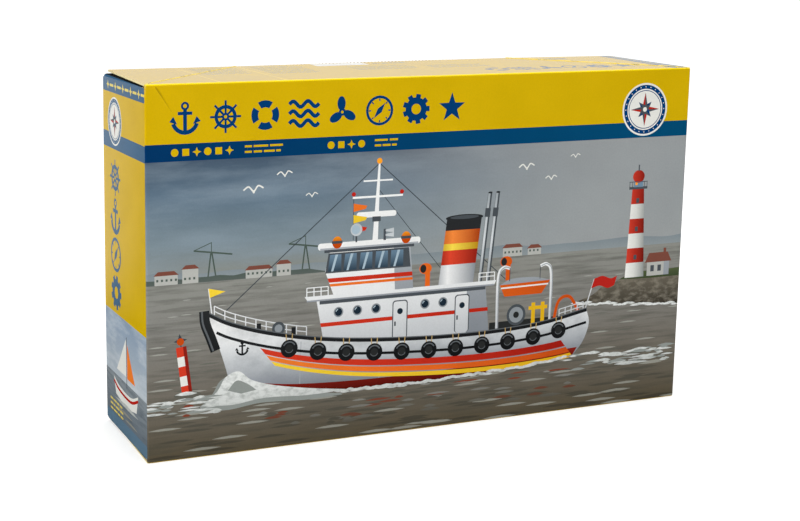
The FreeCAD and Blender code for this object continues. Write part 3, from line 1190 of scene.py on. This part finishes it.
def tugAfterDeck():
    yield from paint(
        "deckShadow", rectangle(58, 84, 150, 92),
        "stripeOrange", [(68, 126), (73, 115), (112, 115), (121, 127)],
        "houseSide", curved([(68, 126), (80, 131), (104, 131), (121, 127)], 4),
        "labelWhite", stroke([(69, 123), (119, 123.5)], 1.4),
    )
    for x, turn in ((66, 1), (122, -1)):
        davit = curved([(x, 86), (x, 132), (x + turn * 5, 142), (x + turn * 12, 141)])
        yield from paint(
            "house", stroke(davit, 3.0), "houseSide", stroke(shifted(davit, 1.0, 0), 0.9),
            "rigging", stroke([(x + turn * 12, 141), (x + turn * 12, 129)], 0.7),
        )
    flag = curved([(169, 124), (178, 126), (187, 123), (194, 125)], 4)
    yield from paint(
        "chromeDark", circle(86, 97, 10), "chrome", circle(86, 97, 7.4), "deckShadow", circle(86, 97, 3),
        "stripeYellow", stroke([(104, 86), (104, 107)], 4), stroke([(114, 86), (114, 107)], 4),
        stroke([(99, 102), (119, 102)], 3.4),
        "stripeOrange", stroke(curved([(126, 86), (131, 106), (143, 109), (154, 92)]), 3.0),
        "house", stroke([(160, 95), (169, 124)], 1.1), "signRed", flag + shifted(flag, -3, -9)[::-1],
    )
    yield from railing([(132, 89), (158, 94)], 9, 6)


def tugBow():
    yield from railing([(x, heightAt(sheerLine, x)) for x in range(-206, -118, 4)], 10, 9)
    yield from paint(
        "house", stroke([(-208, 122), (-211, 146)], 1.1),
        "stripeYellow", [(-211, 146), (-196, 142.5), (-210, 138)],
        "chromeDark", circle(-148, 106, 6), "chrome", circle(-148, 106, 3.6),
        "rubberBlack", stroke([(-166, 104), (-166, 112)], 4), stroke([(-134, 98), (-134, 106)], 4),
    )


def tugHull():
    yield sheerLine + curved(tug["stern"])[1:] + waterLine[1:] + curved(tug["stem"])[1:-1], "hull"
    for x in (-128, -52, 24, 100):
        yield stroke([(x, 50), (x + 1, heightAt(sheerLine, x) - 4)], 0.7), "hullSeam"
    yield waterLine + [(-192.5, 64)] + shifted(waterLine, 0, 9)[-2:0:-1] + [(153, 60)], "bootTop"
    for drop, width, ink in tug["stripes"]:
        line = [(x + drop * 0.8, heightAt(sheerLine, x) - drop) for x in range(-180, 130, 10)]
        yield line + shifted(line, width * 0.8, -width)[::-1], ink
    yield from paint(
        "rubberBlack", stroke(shifted(sheerLine[2:], 0, -12), 2.4), stroke(sheerLine, 3.2),
        "rubberSheen", stroke(shifted(sheerLine, 0, 1.8), 0.9),
        "rubberBlack", *(placed(points, -181, 92, 13) for points, part in anchorSign() if part == "ink"),
    )


def tugFenders():
    radius = tug["fenderRadius"]
    for x in (-138 + i * tug["fenderPitch"] for i in range(tug["fenders"])):
        z = heightAt(sheerLine, x) - 11
        yield from paint(
            "rope", *(stroke([(x + 2 * way, z), (x + 3 * way, z + 13)], 0.9) for way in (-1, 1)),
            "rubberBlack", circle(x, z, radius), "deckShadow", circle(x, z, radius * 0.45, 16),
            "rubberSheen", arcBand(x, z, radius * 0.66, radius * 0.80, 0.08, 0.42),
            arcBand(x, z, radius * 0.42, radius * 0.50, 0.55, 0.95),
        )
    nose = curved([(-215, 127), (-214, 116), (-209, 103), (-205, 92)])
    yield from paint("rubberBlack", stroke(nose, 9), "rubberSheen", stroke(shifted(nose, -2, 0), 1.6))


def tugWash():
    # Bow wave and wake, and the hull's broken reflection
    draw = random.Random(23)
    for i in range(70):
        x, depth = draw.uniform(-180, 150), draw.random()
        ink = ("reflection", "redReflection", "reflection", "crestDark")[i % 4]
        yield lens(x, 45 - 30 * depth, 4 + 11 * draw.random(), 0.8 + 1.2 * depth), ink
    bow = curved(
        [(-214, 47), (-203, 57), (-196, 68), (-184, 72), (-172, 63), (-150, 56), (-118, 50), (-84, 45.4)],
    )
    under = curved([(-84, 44.8), (-120, 44), (-160, 46), (-190, 43), (-214, 45)])
    curl = curved([(-194, 56), (-186, 64), (-176, 60), (-168, 54)])
    yield from paint(
        "foamShade", shifted(bow, -5, -3) + shifted(under, -3, -4), "foam", bow + under,
        "foamShade", curl + [(-182, 52)],
    )
    for x in (-90 + i * 5.1 for i in range(46)):
        z = heightAt(waterLine[::-1], x) + draw.uniform(-1, 1.4)
        yield lens(x, z, draw.uniform(4, 8), 1.7), "foam"
    for left, width, count in ((142, 118, 60), (-262, 60, 40)):
        for i in range(count):
            x, z = left + width * draw.random(), 53 - 15 * draw.random()
            yield lens(x, z, draw.uniform(3, 12), draw.uniform(0.7, 2.0)), "foam" if i % 3 else "foamShade"


picture = (
    skyAndSea, farShore, lighthouseRocks, gulls, sparBuoy, tugMast, tugFunnel, tugHouse, wheelhouse,
    tugAfterDeck, tugBow, tugHull, tugFenders, tugWash, header,
)


# Prints on the walls. Long walls are drawn in x and depth, end walls in depth and height

def upperWallPrint():
    past, half = lid["depth"] + 1, lid["halfWidth"]    # the print runs on past the rim
    yield from paint(
        # painted highlight along the upper wall's side of the top fold
        "foldYellow", rectangle(-half, 0, half, lid["board"] + 0.5),
        "hairlineYellow", *(rectangle(x, 0, x + 1.2, past) for x in (-200.6, -142.1)),
        "labelWhite", rectangle(-71, 99, -19, 118),
        "bandBlue", rectangle(163, 100, 196, 107), rectangle(half - 18, 0, half + 1, past),
        "hairlineYellow", rectangle(half - 9.6, 0, half - 8.2, past),
        "rubberBlack", rectangle(226, 33, 233, 37), rectangle(236, 31, 244, 36),
    )
    for i, (left, low, right, rows) in enumerate((
        (-192, 60, -150, 9), (-134, 52, -86, 10), (-48, 60, 14, 5), (28, 60, 86, 4),
    )):
        yield from fineBars(left, low, right, rows, 6.0, "smallPrint", 31 + i)
    for i in range(4):
        yield from placeSign(signs[i], -9 + i * 9, 107, 7.5, "teal" if i % 2 else "bandBlue")
    for i in range(6):
        yield from placeSign(signs[(i + 2) % 8], 78 + i * 27, 33, 25, "bandBlue")
    yield from creaseScuffs()


scuffLook = {"length": (2, 6), "gap": (3, 13), "stray": (-0.3, 0.3), "width": 0.8, "clear": (4.0, 10)}


def creaseScuffs():
    # A painted highlight along each crease's ridge, and short rubbed marks on it
    draw, look = random.Random(41), scuffLook
    half, board, depth = lid["halfWidth"], lid["board"], lid["depth"]
    for side in (-1, 1):
        # painted highlight along the crease
        yield stroke([(side * (half - far), board + far) for far in (0, depth)], 1.5), "foldYellow"
        place, clear = look["clear"]
        while place < depth - clear:
            length = draw.uniform(*look["length"])
            ends = [
                (side * (half - far + draw.uniform(*look["stray"])), board + far)
                for far in (place, place + length)
            ]
            yield stroke(ends, look["width"]), "scuff"
            place += length + draw.uniform(*look["gap"])


def lowerWallPrint():
    for i, sign in enumerate(signs):
        yield from placeSign(sign, -140 + i * 40, 62, 26, "bandBlue")


endPrint = {
    "bandLow": 302.5, "stripeLow": 253.8, "stripeHigh": 267.6,
    "pictureTop": 108.1, "sea": 52.0, "footTop": 14.2, "foot": -5.0, "overrun": 1.0,
}


def endBoat():
    # A small sailing boat on the strip of sea
    hull = curved([(-38, 49), (-20, 44), (14, 43), (36, 50)])
    return paint(
        "labelWhite", [(1, 58), (1, 92), (-28, 58)], "stripeOrange", [(4, 57), (4, 88), (27, 57)],
        "houseDark", stroke([(2.4, 48), (2.4, 94)], 1.4),
        "labelWhite", hull + curved([(31, 34), (0, 30), (-32, 34)]),
        "signRed", stroke(shifted(hull, 0, -4), 2.6), "foam", lens(0, 30, 36, 2.4),
        "crestLight", lens(-6, 23, 26, 1.6), lens(14, 18, 20, 1.4),
    )


def endWallPrint():
    look, foot = endPrint, endPrint["foot"]
    left, right = -look["overrun"], lid["depth"] + look["overrun"]
    yield from paint(
        "endBlue", rectangle(left, look["bandLow"], right, bands["top"]),
        rectangle(left, look["stripeLow"], right, look["stripeHigh"]),
        "endSky", rectangle(left, foot, right, look["pictureTop"]),
        "endSea", rectangle(left, foot, right, look["sea"]),
    )
    yield from ((shifted(points, lid["depth"] / 2, 0), ink) for points, ink in endBoat())
    yield rectangle(left, foot, right, look["footTop"]), "footBlue"
    for x in (16 + i * 23 for i in range(5)):
        yield from paint("labelYellow", star(x, 308.5, 4.2, 1.7, 4), rectangle(x + 6, 307.4, x + 17, 309.6))
    yield from fineBars(12, 15.5, 52, 3, 4.6, "labelYellow", 61)
    for i, sign in enumerate((wheelSign, anchorSign, compassSign, cogSign)):
        yield from placeSign(sign, 36, 229 - i * 34, 32, "endBlue")
    yield from compassRoundel(36, 278, 21, "endBlue")


def mirroredPrint(areas):
    # The end walls are drawn as the eye sees them, and the left one is seen from back to front
    return [([(lid["depth"] - x, z) for x, z in points], ink) for points, ink in areas]


# Pieces

foldLook = {
    "wear": 0.30, "patchWear": 0.28, "patchSize": 14, "cornerWear": 0.22, "cornerReach": 9, "width": 1.3,
    "wallShare": 0.9,         # of that on the walls' side of a fold
}
gridSteps = {"panel": 11.0, "wall": 12.0, "fold": 8.0, "crease": 6.0, "knock": 3.0}


def foldWear(fromFold, x, z, toCorner):
    # Cracked ink on a fold, more of it near the corners
    look = foldLook
    worn = look["wear"] + look["patchWear"] * patchy(x, z, look["patchSize"], 6.1)
    worn += look["cornerWear"] * math.exp(-((toCorner / look["cornerReach"]) ** 2))
    return worn * math.exp(-((fromFold / look["width"]) ** 2))


def makeMainPanel(shell, areas=(), guides=()):
    surface = mainSurface(shell)
    u, v, middle, edge = (surface[key] for key in ("flatU", "flatV", "middle", "edge"))

    def ring(out):
        corners = roundedRectangle(-u - out, middle - v - out, u + out, middle + v + out, out, 8)
        return divided(corners + corners[:1], gridSteps["fold"])

    def wearAt(x, z):
        over = max(abs(x) - u, abs(z - middle) - v)
        toCorner = math.hypot(max(0.0, u - abs(x)), max(0.0, v - abs(z - middle)))
        return foldWear(abs(over - edge / 2), x, z, toCorner) if shell is lid else 0.0

    guides = [*guides, *(ring(out) for out in surface["rings"])]
    dots = gridDots((-u, middle - v), (u, middle + v), gridSteps["panel"])
    plan = makePlan(ring(edge)[:-1], areas, guides, dots, base="kraftLiner")
    frames = [surfaceFrame(surface, *point) for point in plan["points"]]
    data = newMesh()
    data["points"] += [here for here, normal in frames]
    data["wear"] += [wearAt(*spot) for spot in plan["points"]]
    # The inner face is the outer one, a board's thickness behind it and a little smaller
    inner = shell["face"] + shell["facing"] * shell["board"]
    shrinkU = shell["halfWidth"] / (u + edge)
    shrinkV = (shell["high"] - middle) / (v + edge)
    onRim = {i for pair in plan["rim"] for i in pair}
    twin = {}
    for i, (across, up) in enumerate(plan["points"]):
        if i in onRim:
            data["points"][i].y = inner
            twin[i] = i
        else:
            twin[i] = len(data["points"])
            x, z = across * shrinkU, middle + (up - middle) * shrinkV
            data["points"].append(Vector((x, inner + shell["facing"] * shell["wave"](x, z), z)))
            data["wear"].append(0.0)
    back = Vector((0, shell["facing"], 0))
    for triangle, colour in zip(plan["triangles"], plan["colours"]):
        abc = triangle if surface["side"] > 0 else triangle[::-1]
        addFace(data, abc, colour, [frames[i][1] for i in abc])
        addFace(data, [twin[i] for i in abc[::-1]], shell["inside"], [back] * 3)
    buildPiece(data, shell, shell["mainPanel"])


def knockGuides():
    start, end = (Vector(point) for point in panelLook["knock"])
    across = (end - start).normalized().orthogonal()
    for step in (-2.4, -1.6, -0.8, -0.4, 0.0, 0.4, 0.8, 1.6, 2.4):
        push = across * step * panelLook["knockWidth"]
        yield divided([tuple(start + push), tuple(end + push)], gridSteps["knock"])


makeMainPanel(lid, [area for drawing in picture for area in drawing()], knockGuides())
print("carton: picture panel printed")
makeMainPanel(tray)


def newBoard(
    shell, surface, outline, areas, guides, dots, base="headerYellow",
    crushAt=nowhere, grooveAt=nowhere, wearAt=nowhere,
):
    # The outer and the inner liner. The outer one is pressed down to the inner where it is crushed
    data = newMesh()
    board, liner = shell["board"], flutes["liner"]
    addSheet(
        data, makePlan(outline, areas, guides, dots, base), surface,
        nowhere, lambda u, v: liner + (board - 2 * liner) * crushAt(u, v),
        shell["outside"], "corePaper", shell["edge"], wearAt if shell is lid else nowhere,
    )
    addSheet(
        data, makePlan(outline, (), guides, dots), surface,
        lambda u, v: board - liner - grooveAt(u, v), lambda u, v: board - grooveAt(u, v),
        "corePaper", shell["inside"], shell["edge"],
    )
    return data


rawEdge = {
    "taper": 4.0,             # how far a corner part's raw edge leans in from its fold to its rim
    "rounding": 2.5,          # of its free corner
    "endRounding": 1.5,       # of an end wall's corners
    "crush": 1.6,             # how far in the cutting knife has pressed the board flat
    "guidePitch": 0.35,       # of the triangles' lines beside a crease, six on each side
}


def creaseGuides(shell, side):
    half, board, sign = shell["halfWidth"], shell["board"], signOf[side]
    for off in (step * rawEdge["guidePitch"] * root2 for step in range(-6, 7) if step):
        line = [(sign * (half + off), board), (sign * (half - shell["run"] + off), shell["depth"])]
        yield divided(line, gridSteps["crease"])


def makeLongWall(shell, place, areas):
    surface = longWallSurface(shell, place)
    half, board, depth, run = (shell[key] for key in ("halfWidth", "board", "depth", "run"))
    mouth, end = half - run, depth - flutes["recess"]
    deep, clear = end - flutes["shownDepth"], flutes["clear"]
    grid = gridDots((-half, board), (half, depth), gridSteps["wall"])
    taper, crush = rawEdge["taper"], rawEdge["crush"]

    def fromCrease(u, v):
        return abs(half - abs(u) - (v - board)) / root2

    def grooveAt(u, v):
        return creaseLook["grooveDepth"] * max(0.0, 1 - fromCrease(u, v) / creaseLook["grooveHalfWidth"])

    def wearAt(u, v):
        onFold = foldLook["wallShare"] * foldWear(v - board, u, v, half - abs(u))
        return max(foldWear(fromCrease(u, v), u, v, math.inf), onFold)

    def crushAt(u, v):
        fromRawEdge = half - abs(u) - taper * (v - board) / run
        return min(1.0, max(0.0, 1 - fromRawEdge / crush))

    def reachAt(u):
        inset = half - abs(u)
        crease = board + inset + clear["crease"]
        rawRim = min(end, board + run * (inset - crush) / taper)
        start = deep if inset > taper + crush + clear["crease"] else board
        return max(crease, start), max(rawRim, crease + flutes["shortest"])

    # The middle part, between the two creases
    outline = [(-half, board), (half, board), (mouth, depth), (-mouth, depth)]
    guides = [*creaseGuides(shell, "left"), *creaseGuides(shell, "right")]
    data = newBoard(shell, surface, outline, areas, guides, grid, grooveAt=grooveAt, wearAt=wearAt)
    last = mouth - clear["crease"]
    addFlutes(data, surface, board, -last, last, lambda u: (deep, end))
    buildPiece(data, shell, f"{place}_wall_middle")

    # The corner parts, from the creases to the raw edges over the end walls
    for side, sign in signOf.items():
        start, free, rimEnd = (sign * half, board), (sign * (half - taper), depth), (sign * mouth, depth)
        outline = [start, *roundedCorner(start, free, rimEnd, rawEdge["rounding"]), rimEnd]
        guides = [*creaseGuides(shell, side)]
        for inset in (crush / 2, crush):
            guides.append([(start[0] - sign * inset, board), (free[0] - sign * inset, depth)])
        data = newBoard(
            shell, surface, outline, areas, guides, grid, crushAt=crushAt, grooveAt=grooveAt, wearAt=wearAt,
        )
        ends = half - crush - clear["rawEdge"], mouth + clear["rimCorner"]
        addFlutes(data, surface, board, *sorted(sign * far for far in ends), reachAt)
        buildPiece(data, shell, f"{place}_wall_{side}_corner")


def makeEndWall(shell, side, areas):
    surface = endWallSurface(shell, side)
    board, depth = shell["board"], shell["depth"]
    low, lowRim, highRim, high = (
        (v, bendHeight(shell, place, side, v))
        for place, v in (("lower", board), ("lower", depth), ("upper", depth), ("upper", board))
    )
    radius = rawEdge["endRounding"]
    corners = (*roundedCorner(low, lowRim, highRim, radius), *roundedCorner(lowRim, highRim, high, radius))
    outline = [low, *corners, high]

    def wearAt(u, v):
        return foldLook["wallShare"] * foldWear(u - board, u, v, min(highRim[1] - v, v - low[1]))

    grid = gridDots(low, highRim, gridSteps["wall"])
    data = newBoard(shell, surface, outline, areas, (), grid, wearAt=wearAt)
    end = depth - flutes["recess"]
    reach = lowRim[1] + flutes["clear"]["bend"], highRim[1] - flutes["clear"]["bend"]
    addFlutes(data, surface, board, end - 2 * flutes["pitch"], end, lambda u: reach)
    buildPiece(data, shell, f"{side}_end_wall")


def makeGlueTab(shell, place, side):
    begin = shell["board"] + tabs["creaseMargin"]
    end = shell["depth"] - tabs["setback"]
    over = tabs["overrun"]
    radius, corner = tabs["bendBack"], tabs["cornerRadius"]
    bend = radius * halfTurn / 2
    reach = bend + tabs["reach"] - radius
    a, b, c, d, e = (
        (0, begin + radius), (0, end), (reach, end), (reach, begin + tabs["reach"]), (bend, begin + radius),
    )
    outline = [a, b, *roundedCorner(b, c, d, corner), *roundedCorner(c, d, e, corner), e]
    guides = [[(bend * step / 8, begin), (bend * step / 8, end + over)] for step in range(1, 9)]
    # The end wall's ink runs on into the bend, further at the rim. Past it, the rest of the bend and the
    # first part of the tab are painted dark as the shadow under the long wall's raw edge
    front, back = (share * bend for share in tabs["inkShare"])
    paintedShadowEnd, first, last = bend + tabs["paintedShadowEnd"], begin - over, end + over
    areas = [
        (rectangle(-over, first, bend, last), "endBlue" if place == "upper" else "footBlue"),
        ([(front, first), (paintedShadowEnd, first), (paintedShadowEnd, last), (back, last)], "bleed"),
    ]
    surface = tabSurface(shell, place, side)
    data = newBoard(shell, surface, outline, areas, guides, (), "whiteLiner")
    buildPiece(data, shell, f"{place}_{side}_glue_tab")


prints = {
    "upper": list(upperWallPrint()), "lower": list(lowerWallPrint()),
    "right": list(endWallPrint()), "left": mirroredPrint(endWallPrint()),
}
for shell in (lid, tray):
    for place in ("upper", "lower"):
        makeLongWall(shell, place, prints[place] if shell is lid else ())
        for side in signOf:
            makeGlueTab(shell, place, side)
    for side in signOf:
        makeEndWall(shell, side, prints[side] if shell is lid else ())
    print("carton:", shell["name"], "built")


# Stage and light. Each range goes from one place and value to another

studio = {
    "floorSize": 30.0,        # metres
    "floorDrop": 0.05,        # mm, so that the carton doesn't flicker on it
    "floorColour": "#E6E6E4",
    "floorGlow": ((0.40, 0.42), (1.5, 0.72)),    # metres from the box, and what makes the floor white
    # A gloss sees a dark floor with a white card on it. Its front edge and its left edge are soft,
    # and the left one leans by this much for each metre
    "cardFront": ((0.35, 0), (0.75, 0.9)),
    "cardLeft": ((-0.28, 0), (-0.235, 1)),
    "cardLean": 0.288,
    "ambient": 0.50,
    "roomGloss": ((-0.5, 0.04), (0.3, 1.3)),    # what a gloss sees of the room, from front to back
    "roomAcross": ((0.0, 0.0), (0.26, 0.6)),    # and how that changes towards the right
}
lamps = {
    "overhead": {"place": (0.3, 0.05, 1.7), "size": (2.2, 1.6), "power": 19.5, "aim": 0.2, "mirrored": True},
    "key": {"place": (-2.15, -1.25, 1.3), "size": (1.2, 1.2), "power": 37.0, "aim": 0.15, "mirrored": False},
    "fill": {"place": (2.4, -0.6, 0.8), "size": (1.2, 1.2), "power": 7.0, "aim": 0.15, "mirrored": False},
}


def seenDirectly(tree):
    # 1 for what the camera sees itself or through glass, and 1 for what a gloss sees
    path = addNode(tree, "LightPath").outputs
    seen = {0: path["Is Camera Ray"], 1: path["Is Transmission Ray"]}
    return addNode(tree, "Math", seen, operation="MAXIMUM"), path["Is Glossy Ray"]


def makeFloor():
    # Seamless paper rolled out flat: matt and white, so the eye finds no edge in it
    size = studio["floorSize"]
    mesh = bpy.data.meshes.new("floor")
    mesh.from_pydata([(x, y, 0) for x, y in rectangle(-size, -size, size, size)], [], [(0, 1, 2, 3)])
    floor = bpy.data.objects.new("floor", mesh)
    bpy.context.scene.collection.objects.link(floor)
    floor.location.z = -studio["floorDrop"] * mm
    material, tree = newMaterial("paperSweep")
    direct, glossy = seenDirectly(tree)
    place = addNode(tree, "TexCoord").outputs["Object"]
    around = addNode(tree, "VectorMath", {0: place}, operation="LENGTH").outputs["Value"]
    behind = addNode(tree, "SeparateXYZ", {0: place}).outputs["Y"]
    glow = addNode(tree, "MapRange", {"Value": around, **ramp(*studio["floorGlow"])})
    front = addNode(tree, "MapRange", {"Value": behind, **ramp(*studio["cardFront"])})
    beside = addNode(tree, "VectorMath", {0: place, 1: (1, studio["cardLean"], 0)}, operation="DOT_PRODUCT")
    left = addNode(tree, "MapRange", {"Value": beside.outputs["Value"], **ramp(*studio["cardLeft"])})
    onCard = addNode(tree, "Math", {0: front, 1: left}, operation="MULTIPLY")
    mirrored = addNode(tree, "Math", {0: glossy, 1: onCard}, operation="MULTIPLY")
    strength = addNode(tree, "Math", {0: direct, 1: glow, 2: mirrored}, operation="MULTIPLY_ADD")
    white = addNode(tree, "Emission", {"Color": (1, 1, 1, 1), "Strength": strength})
    toned = addNode(tree, "Mix", {
        "Factor": glossy, "A": toLinear(studio["floorColour"]), "B": (0, 0, 0, 1),
    }, data_type="RGBA")
    matt = addNode(tree, "BsdfDiffuse", {"Color": toned.outputs["Result"]})
    addNode(tree, "OutputMaterial", {"Surface": addNode(tree, "AddShader", {0: matt, 1: white})})
    mesh.materials.append(material)


def makeWorld():
    # White for the camera, and for a gloss white behind the box and dim in front of it
    world = bpy.data.worlds.new("studio")
    bpy.context.scene.world = world
    world.use_nodes = True
    tree = world.node_tree
    tree.nodes.clear()
    direct, glossy = seenDirectly(tree)
    direction = addNode(tree, "TexCoord").outputs["Generated"]
    split = addNode(tree, "SeparateXYZ", {0: direction}).outputs
    gloss = addNode(tree, "MapRange", {"Value": split["Y"], **ramp(*studio["roomGloss"])})
    across = addNode(tree, "MapRange", {"Value": split["X"], **ramp(*studio["roomAcross"])})
    toned = addNode(tree, "Math", {0: gloss, 1: across}, operation="MULTIPLY")
    lit = addNode(tree, "Mix", {"Factor": glossy, "A": studio["ambient"], "B": toned})
    strength = addNode(tree, "Math", {0: direct, 1: lit}, operation="MAXIMUM")
    background = addNode(tree, "Background", {"Color": (1, 1, 1, 1), "Strength": strength})
    addNode(tree, "OutputWorld", {"Surface": background})


def makeLamp(name, look):
    lamp = bpy.data.lights.new(name, "AREA")
    lamp.shape = "RECTANGLE"
    lamp.size, lamp.size_y = look["size"]
    lamp.energy = look["power"]
    light = bpy.data.objects.new(name, lamp)
    light.visible_glossy = look["mirrored"]
    light.location = look["place"]
    light.rotation_euler = (Vector((0, 0, look["aim"])) - light.location).to_track_quat("-Z", "Y").to_euler()
    bpy.context.scene.collection.objects.link(light)


makeFloor()
makeWorld()
for name, look in lamps.items():
    makeLamp(name, look)
bpy.context.scene.view_settings.view_transform = "Standard"
print("carton: stage and lights ready")
